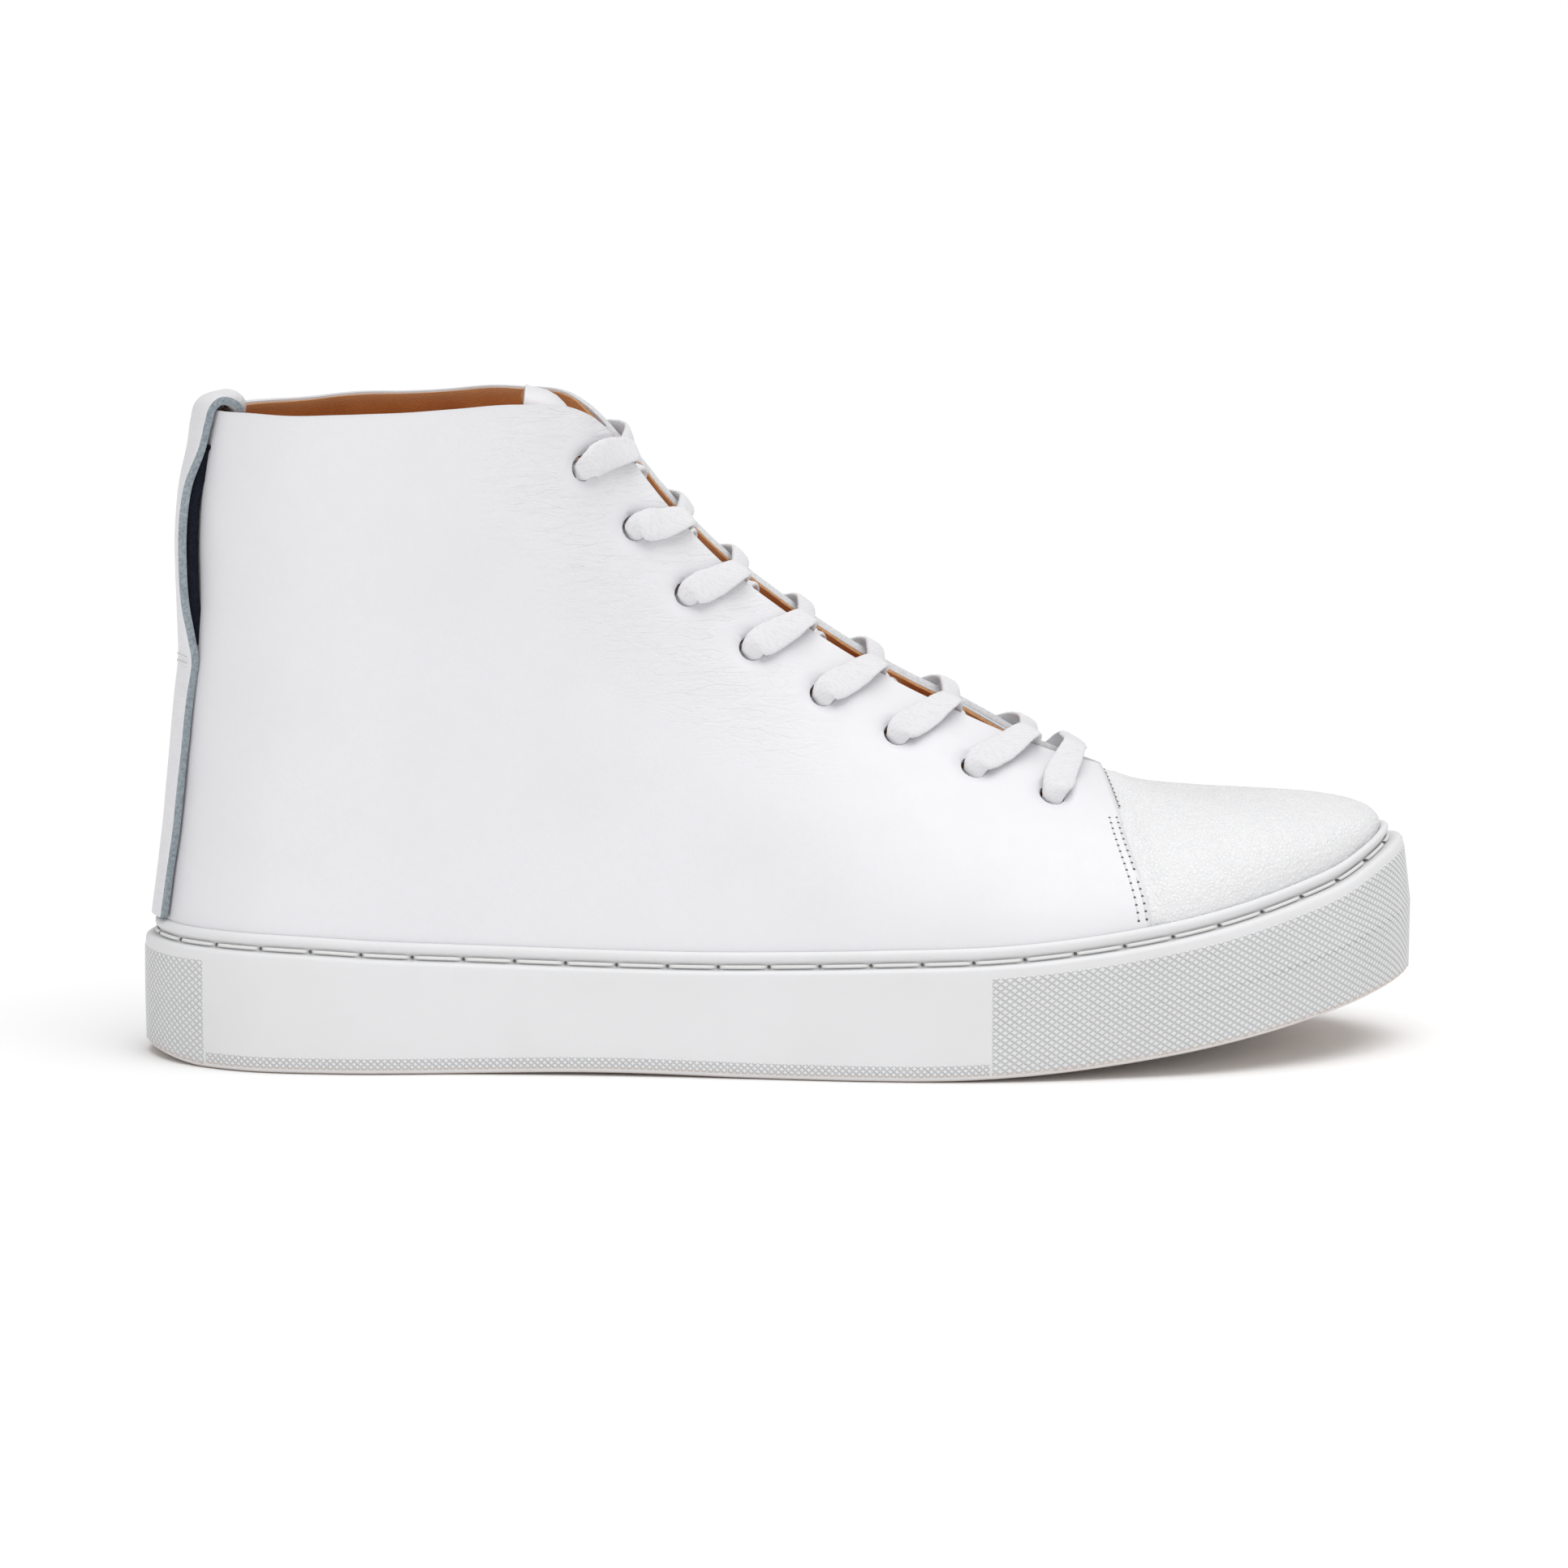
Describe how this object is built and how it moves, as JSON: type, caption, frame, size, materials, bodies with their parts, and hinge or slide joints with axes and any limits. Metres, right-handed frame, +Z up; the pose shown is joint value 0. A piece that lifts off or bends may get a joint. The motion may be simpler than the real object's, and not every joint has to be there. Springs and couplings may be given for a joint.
{
  "type": "high top shoe",
  "caption": "White leather lace-up high-top shoe with a plain grained toe cap, tan leather lining, heel pull loop and a stitched rubber cup sole.",
  "frame": {"origin": "centre of the bounding box at the ground, under the sole", "axes": "+X to the toe, +Z up, +Y to the inner (medial) side of this right-foot shoe"},
  "size_m": [0.3036, 0.1024, 0.1573],
  "materials": {
    "white_leather": "smooth white full-grain leather, soft sheen",
    "grain_leather": "white pebble-grained leather",
    "tan_leather": "natural tan vegetable-tanned lining leather",
    "rubber": "off-white moulded rubber, satin",
    "cotton": "white woven cotton",
    "thread": "white waxed sewing thread",
    "foam": "light grey moulded foam",
    "fibre": "brown pressed fibreboard",
    "steel": "spring steel strip",
    "plastic": "clear plastic lace tip"
  },
  "bodies": {
    "shoe": {"cupsole": "rubber", "sidewall_thread": "thread", "midsole_filler": "foam", "shank": "steel", "insole_board": "fibre", "footbed": "tan_leather", "toe_cap": "grain_leather", "toe_puff": "fibre", "vamp_lining": "cotton", "lateral_quarter": "white_leather", "medial_quarter": "white_leather", "lateral_lining": "tan_leather", "medial_lining": "tan_leather", "lateral_eyelet_stay": "fibre", "medial_eyelet_stay": "fibre", "heel_counter": "fibre", "lace": "cotton", "lateral_aglet": "plastic", "medial_aglet": "plastic", "heel_strap": "white_leather", "strap_thread": "thread", "lateral_toe_seam_thread": "thread", "medial_toe_seam_thread": "thread", "tongue_seam_thread": "thread"},
    "tongue": {"tongue": "tan_leather", "tongue_tip": "white_leather"}
  },
  "joints": [
    {"name": "tongue_hinge", "type": "hinge", "parent": "shoe", "child": "tongue", "pos_m": [0.066, 0.003, 0.055], "axis": [0, 1, 0], "range_deg": [-14, 0]}
  ]
}
